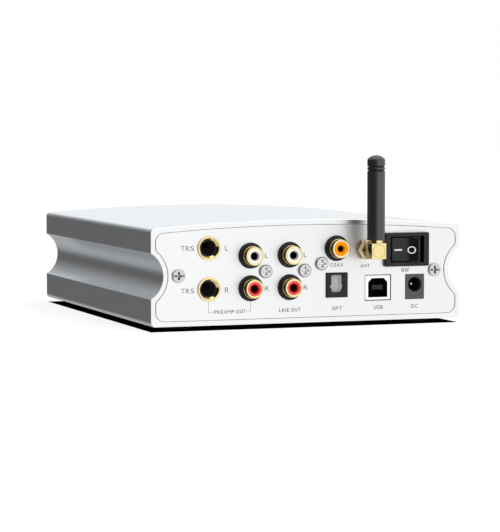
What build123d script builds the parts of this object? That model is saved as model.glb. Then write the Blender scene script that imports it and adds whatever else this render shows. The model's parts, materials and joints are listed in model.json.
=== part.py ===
from build123d import *
import math
import os

# Desktop DAC: an extruded sleeve case with a concave channel along each side, an inset
# rear socket panel, a front slab with a display and a push-and-turn volume knob, and a
# screw-on right-angle antenna.
# Frame: millimetres, +Z up, front faces -Y, socket panel faces +Y. The origin is on
# the table, under the middle of the case.

os.makedirs("parts", exist_ok=True)

# ---------------------------------------------------------------- driving dimensions
case_width = 145.0
case_depth = 172.0            # front slab included
foot_height = 2.1
base = foot_height            # height of the case's underside
body_height = 45.14           # underside to the crown of the domed top
dome_r = 866.0
wall = 2.2                    # sleeve wall
scoop_r = 11.56               # concave channel along each side
scoop_centre_out = 6.0        # its centre lies this far outside the side
scoop_z = base + 21.81
panel_thickness = 2.0
front_thickness = 4.7

half_width = case_width / 2
rear_y = case_depth / 2       # outer face of the socket panel
front_y = -case_depth / 2
sleeve_front = front_y + front_thickness
panel_in = rear_y - panel_thickness

over = 1.0                    # cutters run this far past a face
case_screw_x, case_screw_z = 60.0, scoop_z
board_thickness = 1.6
board_top = base + 8.9        # main board's upper face

# sockets and controls on the rear panel
jack_x, jack_z = 46.1, (base + 33.5, base + 15.75)
rca_x, rca_z = (27.0, 8.9), (base + 29.9, base + 15.7)
coax_x, coax_z = -13.1, base + 32.3
optical_x, optical_z = -13.15, base + 16.1
usb_x, usb_z = -32.8, base + 14.45
power_x, power_z = -50.5, base + 14.5
switch_x, switch_z = -46.1, base + 31.2
antenna_x, antenna_z = -26.8, base + 31.5
rca_collar_r = 5.575
block_screws = ((20.2, base + 22.9), (2.0, base + 22.9), (-6.0, base + 25.7))

# controls on the front
knob_x, knob_z = 46.0, base + 22.6
window_x, window_width, window_height = -22.0, 60.0, 17.0
window_z = knob_z


# ---------------------------------------------------------------- helpers
def box(x0, x1, y0, y1, z0, z1):
    # the two limits of each axis may come in either order
    return Pos((x0 + x1) / 2, (y0 + y1) / 2, (z0 + z1) / 2) * Box(
        abs(x1 - x0), abs(y1 - y0), abs(z1 - z0))


def box_y(x, z, width, height, y0, y1):
    # a box centred on x, z
    return box(x - width / 2, x + width / 2, y0, y1, z - height / 2, z + height / 2)


def cyl_x(y, z, x0, x1, r):
    return Pos((x0 + x1) / 2, y, z) * Rot(0, 90, 0) * Cylinder(r, x1 - x0)


def cyl_y(x, z, y0, y1, r):
    return Pos(x, (y0 + y1) / 2, z) * Rot(90, 0, 0) * Cylinder(r, y1 - y0)


def cyl_z(x, y, z0, z1, r):
    return Pos(x, y, (z0 + z1) / 2) * Cylinder(r, z1 - z0)


def cone_y(x, z, y0, y1, r0, r1):
    # radius r0 at y0 and r1 at y1, with y0 < y1
    return Pos(x, (y0 + y1) / 2, z) * Rot(-90, 0, 0) * Cone(r0, r1, y1 - y0)


def prism_y(face, y0, y1):
    # a face drawn in x, z becomes a solid from y0 to y1
    return Rot(90, 0, 0) * (Pos(0, 0, -y1) * extrude(face, amount=y1 - y0))


def poly_face(points):
    return make_face(Polyline(*points, close=True))


def circles(shape, axis=Axis.Y):
    return shape.edges().filter_by(GeomType.CIRCLE).sort_by(axis)


def inner_rim(shape, y, max_r):
    # circular edges at y with a radius below max_r
    return [c for c in shape.edges().filter_by(GeomType.CIRCLE)
            if abs(c.center().Y - y) < 0.01 and c.radius < max_r]


def end_face(shape, end):
    # end 0 is the frontmost face, -1 the rearmost
    return shape.faces().filter_by(Axis.Y).sort_by(Axis.Y)[end]


def end_edges(shape, end):
    return end_face(shape, end).outer_wire().edges()


def outline(inset, bottom_r, top_r, scoop_edge_r):
    # case cross-section, moved in by inset from the outside of the sleeve
    half = half_width - inset
    bottom = base + inset
    apex = base + body_height - inset
    roof_r = dome_r - inset
    side_r = scoop_r + inset
    side_top = apex - (roof_r - math.sqrt(roof_r ** 2 - half ** 2))
    face = make_face([
        Line((-half, bottom), (half, bottom)),
        Line((half, bottom), (half, side_top)),
        ThreePointArc((half, side_top), (0, apex), (-half, side_top)),
        Line((-half, side_top), (-half, bottom)),
    ])
    scoop_x = half_width + scoop_centre_out
    for s in (-1, 1):
        face -= Pos(s * scoop_x, scoop_z) * Circle(side_r)

    def side_corners(*heights):
        return [v for v in face.vertices() if abs(abs(v.X) - half) < 0.05
                and any(abs(v.Y - z) < 0.05 for z in heights)]

    face = fillet(side_corners(bottom), bottom_r)
    face = fillet(side_corners(side_top), top_r)
    half_mouth = math.sqrt(side_r ** 2 - (scoop_x - half) ** 2)
    return fillet(side_corners(scoop_z + half_mouth, scoop_z - half_mouth), scoop_edge_r)


def cross_recess(x, z, y_face, depth, length, width):
    # tapered cross-shaped driver recess, cut into a head whose crown is at y_face
    shape = None
    for angle in (0, 90):
        wide = Pos(0, 0, -0.3) * Rectangle(length, width)
        slim = Pos(0, 0, depth) * Rectangle(length * 0.55, width * 0.7)
        bar = Rot(0, 0, angle) * loft([wide.faces()[0], slim.faces()[0]])
        shape = bar if shape is None else shape + bar
    return Pos(x, y_face, z) * Rot(90, 0, 0) * shape


def save(name, *solids):
    items = []
    for s in solids:
        items.extend(s.solids())
    shape = items[0] if len(items) == 1 else Compound(children=items)
    shape.label = name
    export_step(shape, "parts/" + name + ".step")


# ---------------------------------------------------------------- case sleeve
case_outline = outline(0.0, 2.0, 2.0, 0.30)
seam_r = 4.0                  # lower and upper corners of the sleeve's inside
seam_scoop_r = 3.0


def make_sleeve():
    inside = outline(wall, seam_r, seam_r, seam_scoop_r)
    sleeve = (prism_y(case_outline, sleeve_front, rear_y)
              - prism_y(inside, sleeve_front - over, rear_y + over))
    for end, size in ((-1, 0.22), (0, 0.15)):
        sleeve = chamfer(end_edges(sleeve, end), size)
    sleeve = chamfer(end_face(sleeve, -1).inner_wires()[0].edges(), 0.15)
    # screw channels and slotted board rails, shortened at both ends for the plates
    y0, y1 = sleeve_front + 1.9, panel_in
    slot_gap = 0.1
    for s in (-1, 1):
        x = s * case_screw_x
        web = box(x, s * 65.9, y0, y1, case_screw_z - 2.2, case_screw_z + 2.2)
        channel = cyl_y(x, case_screw_z, y0, y1, 3.2) + web
        rail = box(s * 67.4, s * 71.2, y0, y1, base + 5.4, base + 10.6)
        slot = box(s * 67.0, s * 70.0, y0 - over, y1 + over,
                   board_top - board_thickness - slot_gap, board_top + slot_gap)
        sleeve = sleeve + channel + rail - slot
        sleeve = sleeve - cyl_y(x, case_screw_z, y0 - over, y1 + over, 1.7)
    return sleeve


save("case_sleeve", make_sleeve())

# ---------------------------------------------------------------- front slab and display
bushing_r = 3.5
post_length = 6.6
posts = [(x, z) for z in (base + 34.0, base + 12.6) for x in (-56.0, 56.0)]
board_front = sleeve_front + post_length      # faces of the front board
board_back = board_front + board_thickness


def make_front():
    front = prism_y(case_outline, front_y, sleeve_front)
    for end, size in ((0, 0.27), (-1, 0.15)):
        front = chamfer(end_edges(front, end), size)
    # locating lip inside the sleeve
    lip_outside = outline(wall + 0.15, 3.9, 3.9, 2.8)
    lip_inside = outline(wall + 2.0, 2.2, 2.2, 1.6)
    front = front + (prism_y(lip_outside, sleeve_front, sleeve_front + 1.6)
                     - prism_y(lip_inside, sleeve_front - 0.5, sleeve_front + 2.0))
    for s in (-1, 1):
        front -= cyl_y(s * case_screw_x, case_screw_z, sleeve_front - 3.4, sleeve_front + 2.0,
                       1.5)
    # display opening, then the bushing hole and the recess for its nut
    opening = RectangleRounded(window_width + 0.2, window_height + 0.2, 2.1)
    front -= prism_y(Pos(window_x, window_z) * opening, front_y - over, sleeve_front + over)
    front -= cyl_y(knob_x, knob_z, front_y - over, sleeve_front + over, bushing_r + 0.1)
    front -= cyl_y(knob_x, knob_z, front_y - over, front_y + 2.4, 7.5)
    # posts for the front board
    for x, z in posts:
        front += cyl_y(x, z, sleeve_front, board_front, 2.6)
        front -= cyl_y(x, z, sleeve_front - 0.5, sleeve_front + 7, 1.1)
    return front


def make_front_board():
    y0, y1 = board_front - over, board_back + over
    channel_gap = 3.6             # clears the sleeve's screw channels
    board = box(-61.0, 61.0, board_front, board_back, base + 9.6, base + 37.4)
    for x, z in posts:
        board -= cyl_y(x, z, y0, y1, 1.35)
    for s in (-1, 1):
        board -= cyl_y(s * case_screw_x, case_screw_z, y0, y1, channel_gap)
        board -= box(s * case_screw_x, s * 62, y0, y1,
                     case_screw_z - channel_gap, case_screw_z + channel_gap)
    return board


def make_board_screw(x, z):
    head_y = board_back + 1.3
    head = cyl_y(x, z, board_back, head_y, 2.2) - cross_recess(x, z, head_y, 0.7, 2.4, 0.6)
    return head + cyl_y(x, z, board_back - 5.5, board_back, 1.1)


save("front_panel", make_front())
save("display_window", prism_y(
    Pos(window_x, window_z) * RectangleRounded(window_width, window_height, 2.0),
    front_y + 0.1, front_y + 3.1))
save("display_module", box_y(window_x, window_z, window_width - 4, 14.0,
                             front_y + 3.3, board_front))
save("front_board", make_front_board())
save("front_board_screws", *[make_board_screw(x, z) for x, z in posts])

# ---------------------------------------------------------------- encoder and knob
shaft_r = 3.0
flat_height = 1.5                  # D flat, from the shaft's axis
rotor_y0, rotor_y1 = sleeve_front + 1.9, sleeve_front + 4.3
shaft_end = rotor_y1 + 0.5
knob_r = 13.5
knob_back = front_y - 1.0
knob_front = front_y - 15.7
knob_relief_y = knob_back - 2.5    # floor of the relief in the knob's back


def above_flat(y0, y1, gap=0.0):
    # what the D flat takes off a round shaft
    return box(knob_x - 4, knob_x + 4, y0, y1, knob_z + flat_height + gap, knob_z + 4)


def make_encoder_body():
    bushing = cyl_y(knob_x, knob_z, front_y - 0.3, sleeve_front, bushing_r)
    body = box_y(knob_x, knob_z, 12, 12, sleeve_front, board_front) + bushing
    body -= cyl_y(knob_x, knob_z, front_y - 2, board_front + over, shaft_r + 0.05)
    return body - cyl_y(knob_x, knob_z, sleeve_front + 1.7, board_front + over, 4.7)


def make_encoder_nut():
    nut = prism_y(Pos(knob_x, knob_z) * RegularPolygon(5.7, 6), front_y + 0.5, front_y + 2.4)
    return nut - cyl_y(knob_x, knob_z, front_y, front_y + 3, bushing_r)


def make_rotor():
    hole = cyl_y(knob_x, knob_z, rotor_y0 - over, rotor_y1 + over, shaft_r + 0.05)
    hole -= above_flat(rotor_y0 - 2, rotor_y1 + 2, 0.05)
    return cyl_y(knob_x, knob_z, rotor_y0, rotor_y1, 4.6) - hole


def make_encoder_switch():
    y0 = rotor_y1 + 0.2
    return (cyl_y(knob_x, knob_z, y0, board_front, 4.65)
            - cyl_y(knob_x, knob_z, y0 - over, y0 + 1.1, 3.3))


def make_shaft():
    shaft = cyl_y(knob_x, knob_z, knob_back - 11.0, shaft_end, shaft_r)
    shaft -= above_flat(rotor_y0 - 0.6, shaft_end + over)
    return shaft - above_flat(knob_back - 12.0, knob_relief_y)


def make_knob():
    knob = cyl_y(knob_x, knob_z, knob_front, knob_back, knob_r)
    knob = chamfer(circles(knob)[0], 0.9)
    knob = chamfer(circles(knob)[-1], 0.4)
    # shallow dished face
    dish_r, dish_depth = 139.4, 0.5
    knob -= Pos(knob_x, knob_front + dish_depth - dish_r, knob_z) * Sphere(dish_r)
    # back relief and the D bore
    knob -= cyl_y(knob_x, knob_z, knob_relief_y, knob_back + over, 9.0)
    bore = cyl_y(knob_x, knob_z, knob_back - 11.1, knob_back + over, shaft_r + 0.02)
    bore -= above_flat(knob_back - 12, knob_relief_y, 0.02)
    return knob - bore


save("encoder_body", make_encoder_body())
save("encoder_nut", make_encoder_nut())
save("encoder_rotor", make_rotor())
save("encoder_switch", make_encoder_switch())
save("encoder_shaft", make_shaft())
save("volume_knob", make_knob())

# ---------------------------------------------------------------- rear panel
panel_gap = 0.12                   # rear panel to sleeve
collar_hole_r = rca_collar_r + 0.08
panel_holes = (                    # x, z, radius
    [(s * case_screw_x, case_screw_z, 1.7) for s in (-1, 1)]
    + [(jack_x, z, 4.6) for z in jack_z]
    + [(x, z, collar_hole_r) for x in rca_x for z in rca_z]
    + [(coax_x, coax_z, collar_hole_r)]
    + [(x, z, 1.6) for x, z in block_screws]
    + [(antenna_x, antenna_z, 3.25)])
panel_windows = (                  # x, z, width, height
    (optical_x, optical_z, 10.3, 11.0),
    (usb_x, usb_z, 12.6, 11.5),
    (power_x, power_z, 9.2, 11.2),
    (switch_x, switch_z, 19.5, 13.0),
)


def make_rear_panel():
    corner_r = seam_r - panel_gap
    face = outline(wall + panel_gap, corner_r, corner_r, seam_scoop_r)
    panel = prism_y(face, panel_in, rear_y)
    panel = chamfer(end_edges(panel, -1), 0.15)
    for x, z, r in panel_holes:
        panel -= cyl_y(x, z, panel_in - over, rear_y + over, r)
    for x, z, width, height in panel_windows:
        panel -= box_y(x, z, width, height, panel_in - over, rear_y + over)
    return panel


save("rear_panel", make_rear_panel())

# ---------------------------------------------------------------- screws and feet
head_recess = (1.0, 3.9, 0.95)     # depth, length and width of the cross


def pan_head(x, z, r, height, round_r):
    # head seated on the rear panel
    head = cyl_y(x, z, rear_y, rear_y + height, r)
    head = fillet(circles(head)[-1], round_r)
    return head - cross_recess(x, z, rear_y + height, *head_recess)


def make_case_screw(x, z):
    # combination head: a cross recess with a driver slot right across it
    height = 0.8
    head = pan_head(x, z, 3.0, height, 0.5)
    head -= box(x - 3.1, x + 3.1, rear_y + 0.35, rear_y + 1.0, z - 0.4, z + 0.4)
    shank = (cyl_y(x, z, sleeve_front - 3.2, rear_y, 1.5)
             - cross_recess(x, z, rear_y + height, *head_recess))
    return head + shank


def make_block_screw(x, z):
    return pan_head(x, z, 2.95, 1.15, 0.45) + cyl_y(x, z, rear_y - 9.0, rear_y, 1.45)


def make_foot(x, y):
    foot = cyl_z(x, y, 0, foot_height, 7.5)
    return chamfer(circles(foot, Axis.Z)[0], 0.5)


save("case_screws", *[make_case_screw(s * case_screw_x, case_screw_z) for s in (-1, 1)])
save("jack_block_screws", *[make_block_screw(x, z) for x, z in block_screws])
save("rubber_feet", *[make_foot(x, y) for x in (-56.0, 56.0) for y in (-68.0, 68.0)])

# ---------------------------------------------------------------- 6.35 mm jacks
jack_bore_r = 3.25
jack_mouth_r = 4.1
jack_face = rear_y + 0.55          # ring's outer face
nose_y = jack_face - 1.65          # black nose of the socket, behind the ring's face
bore_end = nose_y - 8.0            # the plug's close bore runs this far in
jack_back = panel_in - 28.0
jack_cavity_y = jack_back + 1.2


def make_jack_housing():
    housing = box(jack_x - 7.3, jack_x + 7.3, jack_back, panel_in, board_top, base + 40.6)
    for z in jack_z:
        housing -= cyl_y(jack_x, z, panel_in - 5.0, panel_in + over, 4.5)
        housing += cyl_y(jack_x, z, panel_in - 5.1, nose_y, jack_mouth_r - 0.04)
        housing -= cyl_y(jack_x, z, bore_end - over, nose_y + over, jack_bore_r)
        housing -= cyl_y(jack_x, z, jack_cavity_y, bore_end, 3.9)
        # spring pockets on both sides of the bore
        for s in (-1, 1):
            housing -= box(jack_x + s * 2.6, jack_x + s * 6.1, jack_cavity_y, bore_end,
                           z - 1.4, z + 1.4)
    return housing


def make_jack_ferrule(z):
    ring = cyl_y(jack_x, z, rear_y, jack_face, 5.3)
    ring = fillet(circles(ring)[-1], 0.3)
    ring = ring + cyl_y(jack_x, z, panel_in - 4.6, rear_y, 4.48)
    ring -= cyl_y(jack_x, z, panel_in - 6, nose_y + 0.05, jack_mouth_r)
    # funnel mouth in front of the black nose
    ring -= cone_y(jack_x, z, nose_y + 0.04, jack_face + 0.01, 3.7, 4.35)
    return chamfer(inner_rim(ring, jack_face, 4.5), 0.12)


def make_jack_contact(z, s, bump_depth):
    # leaf spring on side s of the bore, with a rounded bump bump_depth behind the panel
    leaf = box_y(jack_x + s * 5.2, z, 0.4, 2.0, jack_cavity_y, bore_end - 0.5)
    return leaf + cyl_z(jack_x + s * 4.55, panel_in - bump_depth, z - 1, z + 1, 0.75)


save("trs_jack_housing", make_jack_housing())
save("trs_jack_ferrules", *[make_jack_ferrule(z) for z in jack_z])
save("trs_jack_contacts", *[make_jack_contact(z, s, bump_depth)
                            for z in jack_z for s, bump_depth in ((-1, 20.0), (1, 13.0))])

# ---------------------------------------------------------------- phono sockets
barrel_r = 4.1
rca_hole_r, coax_hole_r = 1.64, 1.4
rca_back = panel_in - 14.0
tube_back = rca_back + 2.0         # floor of the centre hole
collar_y = rear_y + 0.8
barrel_y0, barrel_y1 = rca_back + 1.0, rear_y + 5.5
shoulder_y = collar_y + 0.2        # the barrel is slimmer behind this shoulder
core_y = barrel_y1 - 1.45
rca_places = [(x, z) for x in rca_x for z in rca_z]


def rca_block(x, heights, x_low, x_high, z_low, z_high, screw, hole_r):
    block = box(x_low, x_high, rca_back, panel_in, z_low, z_high)
    for z in heights:
        collar = cyl_y(x, z, panel_in - 0.5, collar_y, rca_collar_r)
        block += chamfer(circles(collar)[-1], 0.2)
    for z in heights:
        # annular well for the barrel around a bored core
        block -= cyl_y(x, z, barrel_y0, collar_y + over, barrel_r - 0.2)
        block += cyl_y(x, z, rca_back, core_y, 2.38)
        block -= cyl_y(x, z, tube_back, core_y + over, hole_r)
    screw_x, screw_z = screw
    return block - cyl_y(screw_x, screw_z, panel_in - 8.0, panel_in + over, 1.45)


def make_barrel(x, z):
    barrel = cyl_y(x, z, shoulder_y, barrel_y1, barrel_r)
    barrel = fillet(circles(barrel)[-1], 0.4)
    barrel += cyl_y(x, z, barrel_y0, shoulder_y + 0.1, barrel_r - 0.24)
    barrel -= cyl_y(x, z, barrel_y0 + 0.8, barrel_y1 + over, 3.05)
    barrel -= cyl_y(x, z, barrel_y0 - over, barrel_y0 + 1, 2.42)
    return chamfer(inner_rim(barrel, barrel_y1, 3.2), 0.15)


def make_insert(x, z, hole_r, dish_r):
    # ring in the socket's mouth, slipped over the moulded core
    face = barrel_y1 - 0.1
    ring = cyl_y(x, z, barrel_y1 - 3.2, face, 3.03)
    ring -= cone_y(x, z, face - 0.8, face + 0.01, hole_r, dish_r)
    ring -= cyl_y(x, z, core_y, face, hole_r)
    return ring - cyl_y(x, z, barrel_y1 - 4, core_y + 0.02, 2.4)


def make_centre_tube(x, z, hole_r):
    y1 = barrel_y1 - 7.6
    return (cyl_y(x, z, tube_back, y1, hole_r - 0.02)
            - cyl_y(x, z, tube_back + 1.0, y1 + over, hole_r - 0.38))


save("preamp_rca_housing", rca_block(rca_x[0], rca_z, 17.3, 33.3, board_top, base + 36.4,
                                     block_screws[0], rca_hole_r))
save("line_rca_housing", rca_block(rca_x[1], rca_z, -0.9, 15.2, board_top, base + 36.4,
                                   block_screws[1], rca_hole_r))
save("coax_rca_housing", rca_block(coax_x, (coax_z,), -19.6, -2.9, base + 22.5, base + 38.8,
                                   block_screws[2], coax_hole_r))
save("rca_barrels", *[make_barrel(x, z) for x, z in rca_places])
save("coax_barrel", make_barrel(coax_x, coax_z))
for colour, z in zip(("white", "red"), rca_z):
    save("rca_inserts_" + colour, *[make_insert(x, z, rca_hole_r, 2.3) for x in rca_x])
save("coax_insert", make_insert(coax_x, coax_z, coax_hole_r, 1.8))
save("rca_center_contacts", *[make_centre_tube(x, z, rca_hole_r) for x, z in rca_places],
     make_centre_tube(coax_x, coax_z, coax_hole_r))

# ---------------------------------------------------------------- optical input
optical_face = rear_y + 0.8
door_y0, door_y1 = rear_y - 2.0, rear_y - 0.8
door_z = base + 16.4
hinge_y = (door_y0 + door_y1) / 2
hinge_z = base + 20.1
hinge_pin = cyl_x(hinge_y, hinge_z, optical_x - 3.6, optical_x + 3.6, 0.30)
optical_cavity_y = panel_in - 10.0


def door_shape(grow):
    # door outline grown by grow: straight sides with two ears and cut lower corners
    side, ear = 2.72 + grow, 3.37 + grow
    top, low = 20.7 + grow, 12.9 - grow
    # x from the door's middle, z above the case's underside
    right = [(side, top), (side, 16.3 + grow), (ear, 15.7 + grow), (ear, 15.4 - grow),
             (side, 14.8 - grow), (side, low + 1.05), (side - 0.9, low)]
    left = [(-x, z) for x, z in reversed(right)]
    return Pos(optical_x, base) * poly_face(right + left)


def make_optical_housing():
    housing = box_y(optical_x, optical_z, 10.1, 10.8, panel_in - 13.0, optical_face)
    housing = chamfer(end_edges(housing, -1), 0.2)
    cavity_end = door_y0 - 0.4
    housing -= prism_y(door_shape(0.1), cavity_end, optical_face + over)
    housing -= box(optical_x - 3.8, optical_x + 3.8, optical_cavity_y, cavity_end,
                   base + 12.4, base + 21.0)
    return housing - hinge_pin


def make_shutter():
    # the door stops at the hinge axis, where a bored knuckle takes over
    below_hinge = Pos(optical_x, door_z) * Rectangle(8, (hinge_z - door_z) * 2)
    door = prism_y(door_shape(0.0) & below_hinge, door_y0, door_y1)
    door += cyl_x(hinge_y, hinge_z, optical_x - 2.72, optical_x + 2.72, 0.60)
    door -= cyl_x(hinge_y, hinge_z, optical_x - 4, optical_x + 4, 0.34)
    # shallow pocket in the door's outer face
    return door - prism_y(Pos(optical_x, door_z) * Rectangle(3.1, 5.8),
                          door_y1 - 0.35, door_y1 + 0.1)


def make_sensor():
    sensor = box(optical_x - 2.5, optical_x + 2.5, optical_cavity_y, panel_in - 8.6,
                 base + 13.4, base + 18.4)
    return sensor + cyl_y(optical_x, base + 15.9, panel_in - 8.7, panel_in - 7.6, 1.2)


save("optical_housing", make_optical_housing())
save("optical_shutter", make_shutter())
save("optical_shutter_pin", hinge_pin)
save("optical_sensor", make_sensor())

# ---------------------------------------------------------------- USB-B socket
usb_front = rear_y - 0.15
usb_back = panel_in - 14.0
usb_lip_y = usb_front - 0.5        # inner face of the shell's front wall
usb_inside = (11.1, 9.9)           # width and height inside the shell
strip_thickness = 0.15
usb_strips = [                     # flat contacts let into the tongue behind its tip
    box(usb_x + s * 1.25 - 0.5, usb_x + s * 1.25 + 0.5, usb_back + 3.2, usb_front - 2.8,
        z, z + strip_thickness)
    for s in (-1, 1) for z in (usb_z + 1.0, usb_z - 0.85)]


def usb_mouth(y0, y1):
    # plug opening with its two upper corners cut
    half, low, high, cut = 4.6, usb_z - 4.25, usb_z + 4.25, 1.8
    points = [(usb_x - half, low), (usb_x + half, low), (usb_x + half, high - cut),
              (usb_x + half - cut, high), (usb_x - half + cut, high),
              (usb_x - half, high - cut)]
    return prism_y(poly_face(points), y0, y1)


def make_usb_shell():
    shell = box_y(usb_x, usb_z, 12.1, 10.9, usb_back, usb_front)
    shell = chamfer(end_edges(shell, -1), 0.2)
    shell -= box_y(usb_x, usb_z, *usb_inside, usb_back - over, usb_lip_y)
    return shell - usb_mouth(usb_front - over, usb_front + over)


def make_usb_insulator():
    insulator = box_y(usb_x, usb_z, *usb_inside, usb_back, usb_lip_y)
    insulator -= usb_mouth(usb_back + 3.0, usb_front)
    insulator += box(usb_x - 2.6, usb_x + 2.6, usb_back + 2.5, usb_front - 0.6,
                     usb_z - 0.85, usb_z + 1.15)
    for strip in usb_strips:
        insulator -= strip
    return insulator


save("usb_shell", make_usb_shell())
save("usb_insulator", make_usb_insulator())
save("usb_contacts", *usb_strips)

# ---------------------------------------------------------------- power inlet
power_hole_z = base + 15.5
power_hole_y = panel_in - 9.0      # floor of the plug hole


def make_power_housing():
    housing = box_y(power_x, power_z, 9.0, 11.0, panel_in - 12.0, rear_y + 0.2)
    housing = chamfer(end_edges(housing, -1), 0.15)
    return housing - cyl_y(power_x, power_hole_z, power_hole_y, rear_y + over, 3.3)


def make_power_pin():
    pin = cyl_y(power_x, power_hole_z, power_hole_y, rear_y - 3.3, 1.0)
    return fillet(circles(pin)[-1], 0.95)


save("dc_jack_housing", make_power_housing())
save("dc_jack_contacts", make_power_pin(),
     box(power_x - 0.9, power_x + 0.9, power_hole_y, panel_in - 3.0,
         power_hole_z - 3.0, power_hole_z - 2.75))

# ---------------------------------------------------------------- rocker switch
bezel_y = rear_y + 2.0
pivot_y = rear_y - 2.9
valley_height = 4.0                # valley of the rocker above its pivot
half_swing = 10.0                  # degrees each side of level
switch_back = rear_y - 13.0
blade_end = rear_y - 20.5
blade_offset = 3.6


def make_switch_housing():
    rim = Pos(switch_x, switch_z) * RectangleRounded(21.3, 15.0, 0.7)
    housing = prism_y(rim, rear_y, bezel_y)
    housing = fillet(end_edges(housing, -1), 0.4)
    housing += box_y(switch_x, switch_z, 19.2, 12.7, switch_back, rear_y + 0.5)
    housing -= box_y(switch_x, switch_z, 16.1, 12.0, rear_y + 0.8, bezel_y + over)
    housing -= box_y(switch_x, switch_z, 16.1, 11.3, rear_y - 10.5, rear_y + 1.0)
    return housing - cyl_z(switch_x, pivot_y, switch_z - 7, switch_z + 7, 1.05)


def make_rocker():
    # drawn level about its pivot (x to the side, y outward), then tipped
    half_length, half_height = 6.95, 5.4
    tip_y = valley_height + half_length * math.tan(math.radians(half_swing))
    face = poly_face([(-half_length, tip_y), (0, valley_height), (half_length, tip_y),
                      (6.35, 0.6), (2.4, -2.2), (-2.4, -2.2), (-6.35, 0.6)])

    def corners(x, y):
        return [v for v in face.vertices()
                if abs(abs(v.X) - x) < 0.01 and abs(v.Y - y) < 0.01]

    face = fillet(corners(0, valley_height), 12.0)
    face = fillet(corners(half_length, tip_y), 0.85)
    rocker = Pos(0, 0, -half_height) * extrude(face, amount=2 * half_height)
    outer_edges = [e for e in rocker.edges()
                   if abs(abs(e.center().Z) - half_height) < 0.01 and e.center().Y > 3.6]
    rocker = chamfer(outer_edges, 0.25)
    rocker += Cylinder(1.0, 12.4)
    return Pos(switch_x, pivot_y, switch_z) * Rot(0, 0, -half_swing) * rocker


def make_blade(x):
    blade = box_y(x, switch_z, 0.8, 4.8, blade_end, switch_back)
    return blade - cyl_x(rear_y - 18.3, switch_z, x - over, x + over, 0.8)


save("switch_housing", make_switch_housing())
save("switch_rocker", make_rocker())
save("switch_terminals", *[make_blade(switch_x + s * blade_offset) for s in (-1, 1)])

# ---------------------------------------------------------------- antenna
whip_y = rear_y + 11.8             # whip axis
elbow_size = 6.9
elbow_y0, elbow_y1 = whip_y - elbow_size / 2, whip_y + elbow_size / 2
nut_y0, nut_y1 = rear_y + 2.5, rear_y + 7.0
nut_flats = 8.0
thread_r = 3.15
jack_tail_y = panel_in - 8.0
whip_r = 3.9
whip_bottom, whip_top = base + 36.2, base + 73.25
core_r = 1.5                       # thin core from the elbow up into the whip
core_bottom, core_top = antenna_z + 0.6, base + 62.0


def on_antenna(y0, y1, r):
    # cylinder on the axis of the antenna's socket
    return cyl_y(antenna_x, antenna_z, y0, y1, r)


def make_antenna_jack():
    jack = on_antenna(panel_in - 2.5, panel_in, 4.2)
    jack += on_antenna(panel_in, rear_y + 5.4, thread_r)
    jack += on_antenna(jack_tail_y, panel_in - 2.5, 2.2)
    return jack - on_antenna(rear_y + 0.5, rear_y + 6, 2.2)


def hex_blank(y0, y1, both_ends):
    # hexagon with its corners turned off at the outer end, or at both ends
    corner_r = nut_flats / math.sqrt(3)
    blank = prism_y(Pos(antenna_x, antenna_z) * RegularPolygon(corner_r, 6), y0, y1)
    turned = on_antenna(y0, y1, corner_r)
    rims = circles(turned)
    return blank & chamfer(rims if both_ends else rims[-1], 0.35)


def make_jack_nut():
    y1 = rear_y + 2.1
    return (hex_blank(rear_y, y1, both_ends=False)
            - on_antenna(rear_y - over, y1 + over, thread_r))


def make_coupling_nut():
    nut = hex_blank(nut_y0, nut_y1, both_ends=True)
    nut -= on_antenna(nut_y0 - over, nut_y1 - 1.0, 3.22)
    return nut - on_antenna(nut_y0 - over, nut_y1 + over, 2.55)


def make_elbow():
    elbow = box_y(antenna_x, antenna_z, elbow_size, elbow_size, elbow_y0, elbow_y1)
    elbow = chamfer(elbow.edges(), 0.12)
    elbow += on_antenna(nut_y1 + 0.1, elbow_y0 + 0.5, 3.1)
    elbow += on_antenna(rear_y + 5.9, nut_y1 + 0.2, 2.5)
    elbow += on_antenna(rear_y + 5.5, rear_y + 5.9, 3.1)
    # ring groove around the cap on the outer face, and the hole for the whip's core
    elbow -= (on_antenna(elbow_y1 - 0.12, elbow_y1 + 1, 2.92)
              - on_antenna(elbow_y1 - 1, elbow_y1 + 2, 2.78))
    return elbow - cyl_z(antenna_x, whip_y, core_bottom, antenna_z + 5, core_r)


def make_element():
    neck = cyl_z(antenna_x, whip_y, antenna_z + elbow_size / 2, whip_bottom, 3.0)
    return neck + cyl_z(antenna_x, whip_y, core_bottom, core_top, core_r)


def make_whip():
    # half profile (radius, height), turned about the whip's axis
    groove_half, groove_depth = 0.42, 0.5
    cap_edge, cap_height = whip_r - 0.25, 1.55
    profile = [(0, whip_bottom), (cap_edge, whip_bottom), (whip_r, whip_bottom + 0.25)]
    for z in (base + 66.6, base + 68.3):
        profile += [(whip_r, z - groove_half), (whip_r - groove_depth, z),
                    (whip_r, z + groove_half)]
    profile += [(whip_r, whip_top - 2.05), (cap_edge, whip_top - cap_height)]
    # crown centred on the axis
    cap_r = (cap_edge ** 2 + cap_height ** 2) / (2 * cap_height)
    cap_mid_z = whip_top - cap_r + math.sqrt(cap_r ** 2 - cap_edge ** 2 / 4)
    cap = ThreePointArc((cap_edge, whip_top - cap_height), (cap_edge / 2, cap_mid_z),
                        (0, whip_top))
    half = make_face([Polyline(*profile), cap, Line((0, whip_top), (0, whip_bottom))])
    whip = Pos(antenna_x, whip_y, 0) * revolve(Plane.XZ * half, Axis.Z)
    return whip - cyl_z(antenna_x, whip_y, whip_bottom - over, core_top, core_r)


save("antenna_jack", make_antenna_jack())
save("antenna_jack_nut", make_jack_nut())
save("antenna_coupling_nut", make_coupling_nut())
save("antenna_elbow", make_elbow())
save("antenna_element", make_element())
save("antenna_whip", make_whip())


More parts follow.
